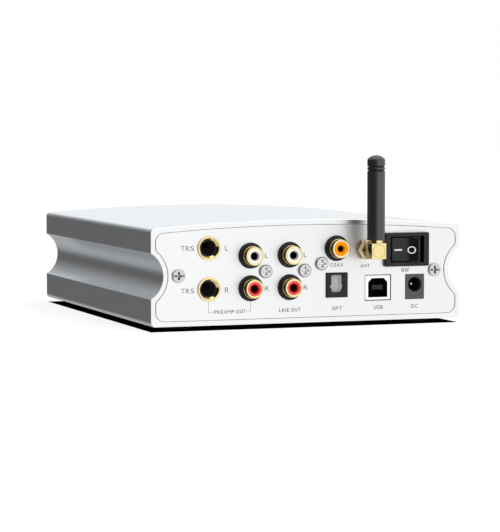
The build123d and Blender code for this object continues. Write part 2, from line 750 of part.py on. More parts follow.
# ---------------------------------------------------------------- main board and its parts
def on_board(x, y, width, length, height, lift=0.0):
    # a box centred on x, y, standing lift above the board
    return box(x - width / 2, x + width / 2, y - length / 2, y + length / 2,
               board_top + lift, board_top + lift + height)


def make_capacitor(x, y, r, height, round_r):
    can = cyl_z(x, y, board_top, board_top + height, r)
    return fillet(circles(can, Axis.Z)[-1], round_r)


def make_regulator(x):
    body = on_board(x, 0, 10, 4.4, 9.0, lift=3.0)
    tab = box(x - 5, x + 5, -2.2, -0.9, board_top + 12.0, board_top + 18.0)
    regulator = body + (tab - cyl_y(x, board_top + 15.4, -3, 0, 1.8))
    for leg_offset in (-2.54, 0, 2.54):
        regulator += on_board(x + leg_offset, 0, 0.7, 0.6, 3.2)
    return regulator


save("main_board", box(-69.8, 69.8, -70.0, panel_in - 0.2,
                       board_top - board_thickness, board_top))
save("filter_capacitors",
     *[make_capacitor(x, y, 5.0, 16.0, 0.5) for x in (-51.0, -40.0) for y in (44.0, 31.5, 19.0)],
     *[make_capacitor(x, y, 4.0, 11.5, 0.4) for y in (-4.0, -16.0) for x in (22.0, 34.0, 46.0)])
save("voltage_regulators", *[make_regulator(x) for x in (-51.0, -39.5)])
save("converter_chip", on_board(22.5, 19.5, 9, 9, 1.2))
save("logic_chips", on_board(-26, 47, 14, 14, 1.4), on_board(0, -40, 12, 12, 1.4))
save("op_amps", *[on_board(x, y, 5, 4, 1.7) for x in (34.0, 44.0, 54.0) for y in (14.0, 24.0)])
save("output_relays", *[on_board(x, y, 9.2, 14.4, 9.5)
                        for x, y in ((46.2, 44.0), (27.0, 56.0), (8.9, 56.0))])
save("crystal_oscillators", *[on_board(5.5, y, 7, 5, 1.8) for y in (28.5, 16.5)])
save("bluetooth_module", on_board(-25, 7, 16, 26, 1.0))
save("bluetooth_shield_can", on_board(-25, 3.5, 12, 15, 2.2, lift=1.0)
     - on_board(-25, 3.5, 11.6, 14.6, 2.0, lift=1.0))

# ---------------------------------------------------------------- wiring
lead_r = 0.75
lead_end_z = board_top + 0.1


def wire(points, r, start_tangent, end_tangent):
    path = Spline(*points, tangents=[start_tangent, end_tangent])
    start_plane = Plane(origin=path @ 0, z_dir=path % 0)
    return sweep(start_plane * Circle(r), path=path)


def make_switch_lead(s):
    return wire([(switch_x + s * blade_offset, blade_end, switch_z),
                 (switch_x + s * 3.8, rear_y - 26.0, switch_z - 6.0),
                 (switch_x + s * 4.0, rear_y - 24.0, lead_end_z)],
                lead_r, (0, -1, 0), (0, 0.2, -1))


def make_ribbon():
    # flat cable from the front board down to the main board, drawn in y, z
    top, outer_y = base + 21.0, -65.6
    face = poly_face([(board_back, top), (board_back, top - 1), (outer_y - 1, top - 1),
                      (outer_y - 1, board_top), (outer_y, board_top), (outer_y, top)])
    bend = [v for v in face.vertices() if abs(v.X - outer_y) < 0.01 and abs(v.Y - top) < 0.01]
    face = fillet(bend, 0.99)
    return Pos(-12.0, 0, 0) * extrude(Plane.YZ * face, amount=20.0)


save("antenna_pigtail", wire(
    [(antenna_x, jack_tail_y, antenna_z), (antenna_x, 62.0, antenna_z - 1.5),
     (-26.0, 38.0, antenna_z - 13.0), (-25.0, 16.0, board_top + 1.2)],
    0.65, (0, -1, 0), (0, -0.2, -1)))
coax_lead = wire([(coax_x, rca_back, coax_z), (coax_x - 0.3, rca_back - 7.0, coax_z - 7.0),
                  (coax_x - 0.6, rca_back - 8.0, lead_end_z)],
                 lead_r, (0, -1, 0), (0, 0.1, -1))
save("internal_leads", make_switch_lead(-1), make_switch_lead(1), coax_lead)
save("ribbon_cable", make_ribbon())
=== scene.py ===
import bpy
import bmesh
import json
import math
from mathutils import Matrix, Vector


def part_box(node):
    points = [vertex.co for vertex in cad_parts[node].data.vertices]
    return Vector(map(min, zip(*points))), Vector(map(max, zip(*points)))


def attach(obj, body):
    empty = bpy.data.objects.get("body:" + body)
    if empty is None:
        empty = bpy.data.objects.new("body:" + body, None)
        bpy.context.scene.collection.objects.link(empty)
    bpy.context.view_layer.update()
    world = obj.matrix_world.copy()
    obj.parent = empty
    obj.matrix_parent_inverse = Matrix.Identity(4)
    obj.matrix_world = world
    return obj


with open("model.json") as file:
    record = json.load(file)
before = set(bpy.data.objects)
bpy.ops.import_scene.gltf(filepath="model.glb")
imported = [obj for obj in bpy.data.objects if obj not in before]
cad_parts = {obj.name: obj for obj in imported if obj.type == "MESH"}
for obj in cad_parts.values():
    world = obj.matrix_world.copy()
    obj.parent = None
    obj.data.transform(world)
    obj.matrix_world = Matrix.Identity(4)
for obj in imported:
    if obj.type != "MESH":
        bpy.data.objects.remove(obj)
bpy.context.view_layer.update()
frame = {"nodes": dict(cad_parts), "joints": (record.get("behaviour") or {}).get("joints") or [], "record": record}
nodes = frame["nodes"]
MM = 0.001
FOOT = 2.1                       # feet height, mm; panel heights below are from the case's underside
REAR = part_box("rear_panel")[1].y / MM
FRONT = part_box("front_panel")[0].y / MM

scene = bpy.context.scene


# ------------------------------------------------------------------ shader helpers
def new_material(name):
    m = bpy.data.materials.new(name)
    m.use_nodes = True
    nt = m.node_tree
    bsdf = nt.nodes["Principled BSDF"]
    return m, nt, bsdf


def link(nt, a, b):
    nt.links.new(a, b)


def coords(nt, stretch=(1, 1, 1)):
    tc = nt.nodes.new("ShaderNodeTexCoord")
    mp = nt.nodes.new("ShaderNodeMapping")
    mp.inputs["Scale"].default_value = stretch
    link(nt, tc.outputs["Object"], mp.inputs["Vector"])
    return mp.outputs["Vector"]


def noise(nt, vec, per_mm, detail=3.0, rough=0.55, dist=0.0):
    n = nt.nodes.new("ShaderNodeTexNoise")
    n.inputs["Scale"].default_value = per_mm * 1000.0
    n.inputs["Detail"].default_value = detail
    n.inputs["Roughness"].default_value = rough
    n.inputs["Distortion"].default_value = dist
    link(nt, vec, n.inputs["Vector"])
    return n.outputs["Fac"]


def remap(nt, sock, lo, hi, a=0.3, b=0.7, smooth=False):
    r = nt.nodes.new("ShaderNodeMapRange")
    if smooth:
        r.interpolation_type = "SMOOTHSTEP"
    r.inputs["From Min"].default_value = a
    r.inputs["From Max"].default_value = b
    r.inputs["To Min"].default_value = lo
    r.inputs["To Max"].default_value = hi
    link(nt, sock, r.inputs["Value"])
    return r.outputs["Result"]


def math_node(nt, op, a, b=None, clamp=False):
    n = nt.nodes.new("ShaderNodeMath")
    n.operation = op
    n.use_clamp = clamp
    for i, v in enumerate((a, b)):
        if v is None:
            continue
        if isinstance(v, (int, float)):
            n.inputs[i].default_value = v
        else:
            link(nt, v, n.inputs[i])
    return n.outputs[0]


def mix_colour(nt, fac, a, b):
    n = nt.nodes.new("ShaderNodeMix")
    n.data_type = "RGBA"
    if isinstance(fac, (int, float)):
        n.inputs["Factor"].default_value = fac
    else:
        link(nt, fac, n.inputs["Factor"])
    for key, v in (("A", a), ("B", b)):
        sock = [s for s in n.inputs if s.name == key and s.type == "RGBA"][0]
        if isinstance(v, tuple):
            sock.default_value = (*v[:3], 1.0)
        else:
            link(nt, v, sock)
    return [s for s in n.outputs if s.type == "RGBA"][0]


def edge_mask(nt, radius_mm, samples=4):
    # 1 on edges that a bevel of this radius would touch, 0 on flats
    bev = nt.nodes.new("ShaderNodeBevel")
    bev.samples = samples
    bev.inputs["Radius"].default_value = radius_mm * MM
    geo = nt.nodes.new("ShaderNodeNewGeometry")
    dot = nt.nodes.new("ShaderNodeVectorMath")
    dot.operation = "DOT_PRODUCT"
    link(nt, bev.outputs["Normal"], dot.inputs[0])
    link(nt, geo.outputs["Normal"], dot.inputs[1])
    return remap(nt, dot.outputs["Value"], 1.0, 0.0, 0.80, 0.995)


def bump(nt, bsdf, height, strength, distance_mm, soften_mm=0.0, samples=4):
    b = nt.nodes.new("ShaderNodeBump")
    b.inputs["Strength"].default_value = strength
    b.inputs["Distance"].default_value = distance_mm * MM
    link(nt, height, b.inputs["Height"])
    if soften_mm > 0:
        bev = nt.nodes.new("ShaderNodeBevel")
        bev.samples = samples
        bev.inputs["Radius"].default_value = soften_mm * MM
        link(nt, bev.outputs["Normal"], b.inputs["Normal"])
    link(nt, b.outputs["Normal"], bsdf.inputs["Normal"])


def metal(name, colour, rough, grain_mm=0.25, rough_var=0.05, bump_mm=0.004, cloud=0.02,
          edge_light=0.0, edge_mm=0.2, stretch=(1, 1, 1), soften=0.0, painted_shade=0.0, painted_shade_mm=0.7,
          painted_shade_colour=(0.01, 0.01, 0.01), side=None, side_rough=None, side_from=(0.30, 0.75)):
    m, nt, bsdf = new_material(name)
    vec = coords(nt, stretch)
    fine = noise(nt, vec, 1.0 / grain_mm, 4.0, 0.6)
    cloud_n = noise(nt, coords(nt), 0.035, 2.0, 0.5)
    dark = tuple(c * (1.0 - cloud) for c in colour)
    col = mix_colour(nt, remap(nt, cloud_n, 0.0, 1.0), dark, colour)
    if edge_light > 0:
        mask = edge_mask(nt, edge_mm)
        worn = math_node(nt, "MULTIPLY", mask, remap(nt, noise(nt, coords(nt), 0.9, 3.0), 0.4, 1.0))
        col = mix_colour(nt, math_node(nt, "MULTIPLY", worn, edge_light), col,
                         tuple(min(1.0, c * 1.12) for c in colour))
    if painted_shade > 0:
        # painted shade: an ambient occlusion test darkens the base colour in hollows, creases and gaps between
        # parts, towards a dark shade colour
        ao = nt.nodes.new("ShaderNodeAmbientOcclusion")
        ao.samples = 6
        ao.inputs["Distance"].default_value = painted_shade_mm * MM
        unshaded = math_node(nt, "POWER", ao.outputs["AO"], painted_shade)
        col = mix_colour(nt, unshaded, painted_shade_colour, col)
    r1 = remap(nt, fine, rough - rough_var, rough + rough_var)
    if side is not None:
        # walls that stand square to the panel take a second, darker colour, painted shade and painted reflection
        # of their darker surroundings, and can be rougher than the turned face
        geo = nt.nodes.new("ShaderNodeNewGeometry")
        sp = nt.nodes.new("ShaderNodeSeparateXYZ")
        link(nt, geo.outputs["Normal"], sp.inputs[0])
        face = remap(nt, math_node(nt, "ABSOLUTE", sp.outputs[1]), 0.0, 1.0, *side_from, True)
        col = mix_colour(nt, face, side(nt) if callable(side) else side, col)
        if side_rough is not None:
            wall = remap(nt, fine, side_rough - rough_var, side_rough + rough_var)
            mixr = nt.nodes.new("ShaderNodeMix")
            link(nt, face, mixr.inputs["Factor"])
            link(nt, wall, mixr.inputs["A"])
            link(nt, r1, mixr.inputs["B"])
            r1 = mixr.outputs[0]
    link(nt, col, bsdf.inputs["Base Color"])
    bsdf.inputs["Metallic"].default_value = 1.0
    r2 = remap(nt, cloud_n, -0.006, 0.006)
    link(nt, math_node(nt, "ADD", r1, r2, True), bsdf.inputs["Roughness"])
    bump(nt, bsdf, fine, 0.35, bump_mm, soften)
    return m


def plastic(name, colour, rough, grain_mm=0.18, rough_var=0.06, bump_mm=0.006, spec=0.5,
            cloud=0.12, edge_light=0.0, edge_mm=0.15, coat=0.0, soften=0.0, bump_strength=0.35,
            painted_shade=0.0, painted_shade_mm=1.0):
    m, nt, bsdf = new_material(name)
    vec = coords(nt)
    fine = noise(nt, vec, 1.0 / grain_mm, 3.0, 0.6)
    cloud_n = noise(nt, vec, 0.12, 3.0, 0.5)
    dark = tuple(c * (1.0 - cloud) for c in colour)
    col = mix_colour(nt, remap(nt, cloud_n, 0.0, 1.0), dark, colour)
    if edge_light > 0:
        mask = edge_mask(nt, edge_mm)
        light = tuple(min(1.0, c + edge_light) for c in colour)
        col = mix_colour(nt, mask, col, light)
    if painted_shade > 0:
        # painted shade: an ambient occlusion test darkens the base colour in hollows and gaps, down to 12 per cent
        # of its own value
        ao = nt.nodes.new("ShaderNodeAmbientOcclusion")
        ao.samples = 6
        ao.inputs["Distance"].default_value = painted_shade_mm * MM
        unshaded = math_node(nt, "POWER", ao.outputs["AO"], painted_shade)
        col = mix_colour(nt, unshaded, tuple(c * 0.12 for c in colour), col)
    link(nt, col, bsdf.inputs["Base Color"])
    bsdf.inputs["Specular IOR Level"].default_value = spec
    link(nt, remap(nt, fine, rough - rough_var, rough + rough_var), bsdf.inputs["Roughness"])
    if coat > 0:
        bsdf.inputs["Coat Weight"].default_value = coat
        bsdf.inputs["Coat Roughness"].default_value = 0.08
    bump(nt, bsdf, fine, bump_strength, bump_mm, soften)
    return m


# ------------------------------------------------------------------ materials
M = {}
M["case_silver"] = metal("satin_case", (0.950, 0.960, 0.970), 0.30, 0.22, 0.03, 0.003, 0.008,
                         edge_light=0.5, edge_mm=0.25, soften=0.12)
M["panel_silver"] = metal("satin_panel", (0.950, 0.961, 0.973), 0.405, 0.18, 0.03, 0.002, 0.006,
                          edge_light=0.0, soften=0.08)


def rear_falloff(m, from_plus_x, to_minus_x, only_end_face):
    # satin metal facing the rear loses a little light from one side to the other
    nt = m.node_tree
    bsdf = nt.nodes["Principled BSDF"]
    tc = nt.nodes.new("ShaderNodeTexCoord")
    sep = nt.nodes.new("ShaderNodeSeparateXYZ")
    link(nt, tc.outputs["Object"], sep.inputs[0])
    geo = nt.nodes.new("ShaderNodeNewGeometry")
    nrm = nt.nodes.new("ShaderNodeSeparateXYZ")
    link(nt, geo.outputs["Normal"], nrm.inputs[0])
    loss = remap(nt, sep.outputs[0], to_minus_x, from_plus_x, -25 * MM, 57 * MM)
    where = remap(nt, nrm.outputs[1], 0.0, 1.0, 0.90, 0.99)
    if only_end_face is False:
        where = remap(nt, sep.outputs[1], 0.0, 1.0, 0.0, 10 * MM)
    lit = bsdf.inputs["Base Color"].links[0].from_socket
    link(nt, mix_colour(nt, math_node(nt, "MULTIPLY", loss, where), lit, (0.0, 0.0, 0.0)),
         bsdf.inputs["Base Color"])


rear_falloff(M["case_silver"], 0.075, 0.105, True)
rear_falloff(M["panel_silver"], 0.0, 0.060, False)
M["knob_silver"] = metal("turned_knob", (0.93, 0.94, 0.95), 0.26, 0.12, 0.05, 0.004, 0.01,
                         edge_light=0.5, edge_mm=0.3, soften=0.10)
M["gold_plate"] = metal("gold_plate", (0.925, 0.765, 0.40), 0.07, 0.30, 0.02, 0.0012, 0.03,
                        soften=0.07)
# painted shade: the contacts are painted nearly black wherever they lie deep inside a hole
M["contact_brass"] = metal("contact_brass", (0.66, 0.50, 0.25), 0.30, 0.3, 0.05, 0.003, 0.05,
                            painted_shade=2.5, painted_shade_mm=6.0)
# painted shade: a brown shade is painted into the elbow's fine grooves and joints
gold_elbow = metal("gold_elbow", (0.865, 0.705, 0.345), 0.08, 0.30, 0.02, 0.0012, 0.03, soften=0.07,
                   painted_shade=1.6, painted_shade_mm=0.35, painted_shade_colour=(0.24, 0.13, 0.03))
# painted shade: the nut's hollows and its walls square to the panel are painted dark brown, for the shade and
# gold-on-gold bounce beside the antenna
gold_nut = metal("gold_nut", (0.925, 0.80, 0.50), 0.09, 0.30, 0.02, 0.0012, 0.03, soften=0.05,
                 painted_shade=0.5, painted_shade_mm=0.5, painted_shade_colour=(0.16, 0.07, 0.01),
                 side=(0.26, 0.12, 0.012), side_from=(0.08, 0.30))


def along_barrel(nt):
    # the barrel mirrors its dark collar less and less towards the root, so it darkens to the lip
    tc = nt.nodes.new("ShaderNodeTexCoord")
    sep = nt.nodes.new("ShaderNodeSeparateXYZ")
    link(nt, tc.outputs["Object"], sep.inputs[0])
    y01 = remap(nt, sep.outputs[1], 0.0, 1.0, (REAR + 2.0) * MM, (REAR + 4.5) * MM, True)
    return mix_colour(nt, y01, (1.0, 0.92, 0.66), (0.10, 0.08, 0.045))


gold_barrel = metal("gold_barrel", (0.925, 0.765, 0.40), 0.07, 0.30, 0.02, 0.0012, 0.03,
                    soften=0.07, side=along_barrel, side_rough=0.10)
# painted shade: the bore walls of the jack mouths are painted a darker gold than the front faces, and are rougher
gold_bush = metal("gold_bush", (0.895, 0.735, 0.37), 0.07, 0.30, 0.02, 0.0012, 0.03, soften=0.07,
                  side=(0.80, 0.66, 0.36), side_rough=0.38)
# painted shade: the screw heads' sides are painted darker than their faces and their hollows are lightly shaded
block_screw = metal("bright_screw", (0.68, 0.68, 0.685), 0.26, 0.16, 0.05, 0.003, 0.03,
                    soften=0.05, painted_shade=0.3, painted_shade_mm=0.6, painted_shade_colour=(0.30, 0.30, 0.30),
                    side=(0.50, 0.49, 0.46))


def screw_rims(m, centres, radius):
    # the turned rim of a head catches the dark room; the bottom of the cross catches the light
    nt = m.node_tree
    bsdf = nt.nodes["Principled BSDF"]
    tc = nt.nodes.new("ShaderNodeTexCoord")
    sep = nt.nodes.new("ShaderNodeSeparateXYZ")
    link(nt, tc.outputs["Object"], sep.inputs[0])
    near = None
    for x, z in centres:
        u = math_node(nt, "SUBTRACT", sep.outputs[0], x * MM)
        w = math_node(nt, "SUBTRACT", sep.outputs[2], (FOOT + z) * MM)
        r = math_node(nt, "SQRT", math_node(nt, "ADD", math_node(nt, "MULTIPLY", u, u),
                                            math_node(nt, "MULTIPLY", w, w)))
        near = r if near is None else math_node(nt, "MINIMUM", near, r)
    rim = remap(nt, near, 0.0, 0.92, (radius - 0.42) * MM, (radius - 0.20) * MM, True)
    rim = math_node(nt, "MULTIPLY", rim, remap(nt, sep.outputs[1], 0.0, 1.0, (REAR + 0.55) * MM,
                                               (REAR + 0.75) * MM))
    lit = bsdf.inputs["Base Color"].links[0].from_socket
    link(nt, mix_colour(nt, rim, lit, (0.06, 0.055, 0.045)), bsdf.inputs["Base Color"])
    pit = remap(nt, sep.outputs[1], 0.09, 0.0, (REAR + 0.35) * MM, (REAR + 1.10) * MM)
    bsdf.inputs["Emission Color"].default_value = (1, 1, 0.98, 1)
    link(nt, math_node(nt, "MULTIPLY", pit, math_node(nt, "SUBTRACT", 1.0, rim)),
         bsdf.inputs["Emission Strength"])


screw_rims(block_screw, ((20.2, 22.9), (2.0, 22.9), (-6.0, 25.7)), 2.95)
# painted shade: the cross recesses of the case screws are painted dark
M["screw_steel"] = metal("nickel_screw", (0.62, 0.62, 0.625), 0.20, 0.16, 0.05, 0.003, 0.03,
                         edge_light=0.4, edge_mm=0.10, soften=0.05, painted_shade=2.2, painted_shade_mm=0.9)
M["socket_steel"] = metal("plated_sheet", (0.96, 0.96, 0.965), 0.22, 0.25, 0.05, 0.002, 0.02,
                          soften=0.06)
M["tinned_sheet"] = metal("tinned_sheet", (0.66, 0.66, 0.65), 0.32, 0.4, 0.07, 0.004, 0.06)
M["black_moulding"] = plastic("black_moulding", (0.006, 0.0055, 0.005), 0.36, 0.14, 0.06, 0.005,
                              spec=0.36, edge_light=0.006, soften=0.06)


def bush_glints(m):
    # soft gold bounce inside the two jack mouths, strongest low down and at the upper right
    nt = m.node_tree
    bsdf = nt.nodes["Principled BSDF"]
    tc = nt.nodes.new("ShaderNodeTexCoord")
    sep = nt.nodes.new("ShaderNodeSeparateXYZ")
    link(nt, tc.outputs["Object"], sep.inputs[0])
    u = math_node(nt, "SUBTRACT", TRS_X * MM, sep.outputs[0])
    near = math_node(nt, "GREATER_THAN", sep.outputs[2], (FOOT + (TRS_Z[0] + TRS_Z[1]) / 2) * MM)
    zc = remap(nt, near, (FOOT + TRS_Z[1]) * MM, (FOOT + TRS_Z[0]) * MM, 0.0, 1.0)
    w = math_node(nt, "SUBTRACT", sep.outputs[2], zc)
    r = math_node(nt, "SQRT", math_node(nt, "ADD", math_node(nt, "MULTIPLY", u, u),
                                        math_node(nt, "MULTIPLY", w, w)))
    ang = math_node(nt, "ARCTAN2", w, u)
    def band(centre, half, soft):
        # 1 inside an angular band around the mouth, 0 outside it
        off = math_node(nt, "ABSOLUTE", math_node(nt, "SUBTRACT", ang, math.radians(centre)))
        return remap(nt, off, 1.0, 0.0, math.radians(half - soft), math.radians(half + soft), True)

    bore = remap(nt, r, 1.0, 0.0, 4.24 * MM, 4.36 * MM)
    glow = math_node(nt, "MULTIPLY", band(44, 33, 5), 0.62)
    glow = math_node(nt, "ADD", glow, math_node(nt, "MULTIPLY", band(-70, 12, 3), 1.5))
    glow = math_node(nt, "ADD", glow, math_node(nt, "MULTIPLY", band(-100, 16, 5), 0.30))
    level = math_node(nt, "ADD", 0.01, glow)
    # the unlit part of the wall, low on the far side
    shade = math_node(nt, "MULTIPLY", band(-25, 31, 4), bore)
    lit = bsdf.inputs["Base Color"].links[0].from_socket
    link(nt, mix_colour(nt, shade, lit, (0.035, 0.030, 0.020)), bsdf.inputs["Base Color"])
    bsdf.inputs["Emission Color"].default_value = (0.92, 0.74, 0.33, 1)
    link(nt, math_node(nt, "MULTIPLY", level, bore), bsdf.inputs["Emission Strength"])


TRS_X, TRS_Z = 46.1, (33.5, 15.75)
bush_glints(gold_bush)
socket_black = plastic("socket_black", (0.008, 0.008, 0.008), 0.42, 0.14, 0.06, 0.005, spec=0.3,
                       soften=0.06)
# painted light: a faint emission lifts the black inside the jack bores a little above the dark they would show
socket_black.node_tree.nodes["Principled BSDF"].inputs["Emission Color"].default_value = (1, 1, 0.97, 1)
socket_black.node_tree.nodes["Principled BSDF"].inputs["Emission Strength"].default_value = 0.0045
M["switch_black"] = plastic("switch_black", (0.0012, 0.0012, 0.0012), 0.17, 0.10, 0.03, 0.002,
                            spec=0.42, edge_light=0.001, soften=0.08)
# painted shade: the inside of the power inlet and its deep opening is painted darker
M["inlet_grey"] = plastic("inlet_grey", (0.075, 0.075, 0.076), 0.45, 0.14, 0.07, 0.006,
                          spec=0.30, cloud=0.05, edge_light=0.02, soften=0.05, painted_shade=3.5,
                          painted_shade_mm=4.0)


def socket_ring(name, rim, dish_shade, rough, spec):
    # moulded ring: the flat lip keeps the plastic's lit colour, and the dish inside it is painted a darker copy of
    # that colour for the shade in it
    m, nt, bsdf = new_material(name)
    vec = coords(nt)
    fine = noise(nt, vec, 3.5, 3.0, 0.6)
    tc = nt.nodes.new("ShaderNodeTexCoord")
    sep = nt.nodes.new("ShaderNodeSeparateXYZ")
    link(nt, tc.outputs["Object"], sep.inputs[0])
    lip = remap(nt, sep.outputs[1], 0.0, 1.0, (REAR + 5.16) * MM, (REAR + 5.38) * MM, True)
    col = mix_colour(nt, lip, dish_shade, rim)
    col = mix_colour(nt, remap(nt, fine, 0.0, 0.06), col, tuple(c * 0.8 for c in rim))
    link(nt, col, bsdf.inputs["Base Color"])
    bsdf.inputs["Specular IOR Level"].default_value = spec
    link(nt, remap(nt, fine, rough - 0.04, rough + 0.04), bsdf.inputs["Roughness"])
    bump(nt, bsdf, fine, 0.3, 0.003, 0.05)
    return m


M["white_plastic"] = socket_ring("white_insert", (0.97, 0.97, 0.965), (0.42, 0.42, 0.425), 0.30, 0.4)
M["red_plastic"] = socket_ring("red_insert", (0.84, 0.095, 0.095), (0.50, 0.004, 0.004), 0.34, 0.12)
M["orange_plastic"] = socket_ring("orange_insert", (0.90, 0.305, 0.0), (0.84, 0.27, 0.0), 0.36, 0.04)
# painted shade: a thin dark line is painted along the edges of the door's pocket
M["shutter_grey"] = plastic("shutter_grey", (0.45, 0.45, 0.455), 0.40, 0.2, 0.05, 0.004,
                            spec=0.35, cloud=0.04, edge_light=0.06, soften=0.04, painted_shade=0.7,
                            painted_shade_mm=0.4)
M["smoked_window"] = plastic("smoked_window", (0.004, 0.004, 0.005), 0.08, 0.5, 0.02, 0.001,
                             spec=0.5, cloud=0.02, soften=0.05, coat=0.3)
M["relay_white"] = plastic("relay_white", (0.78, 0.78, 0.74), 0.4, 0.3, 0.05, 0.004, cloud=0.03)
M["chip_black"] = plastic("chip_black", (0.02, 0.02, 0.021), 0.5, 0.08, 0.08, 0.006, spec=0.35)
M["capacitor_sleeve"] = plastic("capacitor_sleeve", (0.02, 0.03, 0.08), 0.28, 0.5, 0.05, 0.003)
M["wire_jacket"] = plastic("wire_jacket", (0.03, 0.03, 0.03), 0.45, 0.4, 0.05, 0.004)
M["ribbon_grey"] = plastic("ribbon_grey", (0.45, 0.45, 0.47), 0.45, 0.4, 0.05, 0.004)
M["lens_clear"] = plastic("sensor_lens", (0.25, 0.02, 0.02), 0.15, 0.5, 0.02, 0.001)


def rubber(name, dark, light, ior, rough):
    m, nt, bsdf = new_material(name)
    vec = coords(nt)
    fine = noise(nt, vec, 7.0, 3.0, 0.6)
    cloud_n = noise(nt, vec, 0.25, 3.0, 0.5)
    col = mix_colour(nt, remap(nt, cloud_n, 0.0, 1.0), dark, light)
    link(nt, col, bsdf.inputs["Base Color"])
    bsdf.inputs["IOR"].default_value = ior
    link(nt, remap(nt, fine, rough - 0.04, rough + 0.04), bsdf.inputs["Roughness"])
    bump(nt, bsdf, fine, 0.25, 0.004, 0.08)
    return m


M["soft_black"] = rubber("whip_rubber", (0.002, 0.002, 0.002), (0.003, 0.003, 0.003), 1.9, 0.37)
foot_rubber = rubber("foot_rubber", (0.0012, 0.0012, 0.0012), (0.002, 0.002, 0.002), 1.15, 0.8)


def board():
    # solder mask over a faint grid of tracks and vias
    m, nt, bsdf = new_material("board_green")
    vec = coords(nt)
    br = nt.nodes.new("ShaderNodeTexBrick")
    br.inputs["Scale"].default_value = 330.0
    br.inputs["Mortar Size"].default_value = 0.03
    link(nt, vec, br.inputs["Vector"])
    col = mix_colour(nt, br.outputs["Fac"], (0.012, 0.075, 0.035), (0.02, 0.14, 0.06))
    link(nt, col, bsdf.inputs["Base Color"])
    link(nt, remap(nt, noise(nt, vec, 3.0), 0.28, 0.4), bsdf.inputs["Roughness"])
    bump(nt, bsdf, br.outputs["Fac"], 0.4, 0.03)
    return m


M["board_green"] = board()

slot_of = {s["node"]: s["material_slot"] for s in frame["record"]["subparts"]}
for name, ob in nodes.items():
    ob.data.materials.clear()
    ob.data.materials.append(M[slot_of[name]])
nodes["rubber_feet"].data.materials[0] = foot_rubber
nodes["dc_jack_contacts"].data.materials[0] = metal("inlet_pin", (0.90, 0.90, 0.90), 0.07, 0.3, 0.02,
                                                    0.001, 0.02, soften=0.03)
nodes["antenna_elbow"].data.materials[0] = gold_elbow
nodes["antenna_jack_nut"].data.materials[0] = gold_nut
for name in ("rca_barrels", "coax_barrel"):
    nodes[name].data.materials[0] = gold_barrel
nodes["trs_jack_ferrules"].data.materials[0] = gold_bush
nodes["trs_jack_housing"].data.materials[0] = socket_black
nodes["jack_block_screws"].data.materials[0] = block_screw


# ------------------------------------------------------------------ mesh helpers
def add_mesh(name, verts, faces, body, material, smooth=False):
    me = bpy.data.meshes.new(name)
    me.from_pydata([tuple(c * MM for c in v) for v in verts], [], faces)
    me.validate()
    me.update()
    ob = bpy.data.objects.new(name, me)
    scene.collection.objects.link(ob)
    me.materials.append(material)
    for p in me.polygons:
        p.use_smooth = smooth
    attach(ob, body)
    return ob


def rear_point(u, z, out):
    # u to the right as seen from behind, z above the case's underside, out from the panel
    return (-u, REAR + out, FOOT + z)


def plate(verts, faces, outline, out0, out1, place):
    # closed thin plate from an outline of (a, b) points
    n = len(outline)
    base = len(verts)
    for out in (out0, out1):
        for a, b in outline:
            verts.append(place(a, b, out))
    faces.append([base + n + i for i in range(n)])
    faces.append([base + i for i in reversed(range(n))])
    for i in range(n):
        j = (i + 1) % n
        faces.append([base + i, base + j, base + n + j, base + n + i])


def ink(name, colour):
    m, nt, bsdf = new_material(name)
    vec = coords(nt)
    n = noise(nt, vec, 2.2, 3.0)
    col = mix_colour(nt, remap(nt, n, 0.0, 1.0), tuple(c * 0.88 for c in colour), colour)
    link(nt, col, bsdf.inputs["Base Color"])
    bsdf.inputs["Specular IOR Level"].default_value = 0.3
    link(nt, remap(nt, n, 0.42, 0.55), bsdf.inputs["Roughness"])
    bump(nt, bsdf, n, 0.2, 0.003)
    return m


legend_grey = ink("legend_ink", (0.10, 0.10, 0.105))
line_grey = ink("bracket_ink", (0.42, 0.42, 0.43))
mark_white = ink("switch_mark_ink", (0.70, 0.70, 0.70))

# ------------------------------------------------------------------ panel legends
# plain function names beside the sockets: text, left, right, low, high
K = 0.99315
LEGENDS = [
    ("TRS", -59.2, -53.2, 32.7, 34.8), ("TRS", -59.2, -53.2, 14.3, 16.4),
    ("L", -39.1, -37.7, 32.5, 34.7), ("R", -39.1, -37.3, 14.3, 16.5),
    ("L", -20.6, -19.1, 28.9, 30.9), ("R", -20.6, -18.7, 14.5, 16.5),
    ("L", -2.4, -0.9, 28.9, 30.9), ("R", -2.4, -0.5, 14.5, 16.5),
    ("PREAMP OUT", -44.14, -29.4, 5.0, 6.6), ("LINE OUT", -14.0, -3.8, 5.0, 6.6),
    ("COAX", 10.2, 16.3, 24.3, 25.9), ("ANT", 24.6, 29.0, 23.7, 25.2),
    ("SW", 44.3, 48.1, 21.25, 23.0), ("OPT", 11.0, 15.8, 5.0, 6.7),
    ("USB", 31.2, 35.5, 5.0, 6.7), ("DC", 49.2, 52.5, 5.0, 6.7),
]


def text_mesh(body_text, thin):
    cu = bpy.data.curves.new("legend_tmp", "FONT")
    cu.body = body_text
    cu.size = 1.0
    cu.offset = thin
    cu.resolution_u = 4
    ob = bpy.data.objects.new("legend_tmp", cu)
    scene.collection.objects.link(ob)
    bpy.context.view_layer.update()
    dg = bpy.context.evaluated_depsgraph_get()
    me = bpy.data.meshes.new_from_object(ob.evaluated_get(dg))
    bpy.data.objects.remove(ob)
    bpy.data.curves.remove(cu)
    return me


CELL = {" ": 0.22, "O": 1.08, "I": 0.32, "L": 0.86, "M": 1.22, "A": 1.08, "E": 0.90, "W": 1.50}
WEIGHT = {"LINE OUT": 0.008, "COAX": 0.014, "ANT": 0.016, "SW": 0.014, "PREAMP OUT": 0.006,
          "OPT": 0.004, "USB": 0.004, "DC": 0.004, "TRS": 0.0, "L": -0.004, "R": -0.004}
GAP = 0.26                        # space between letters, in letter widths


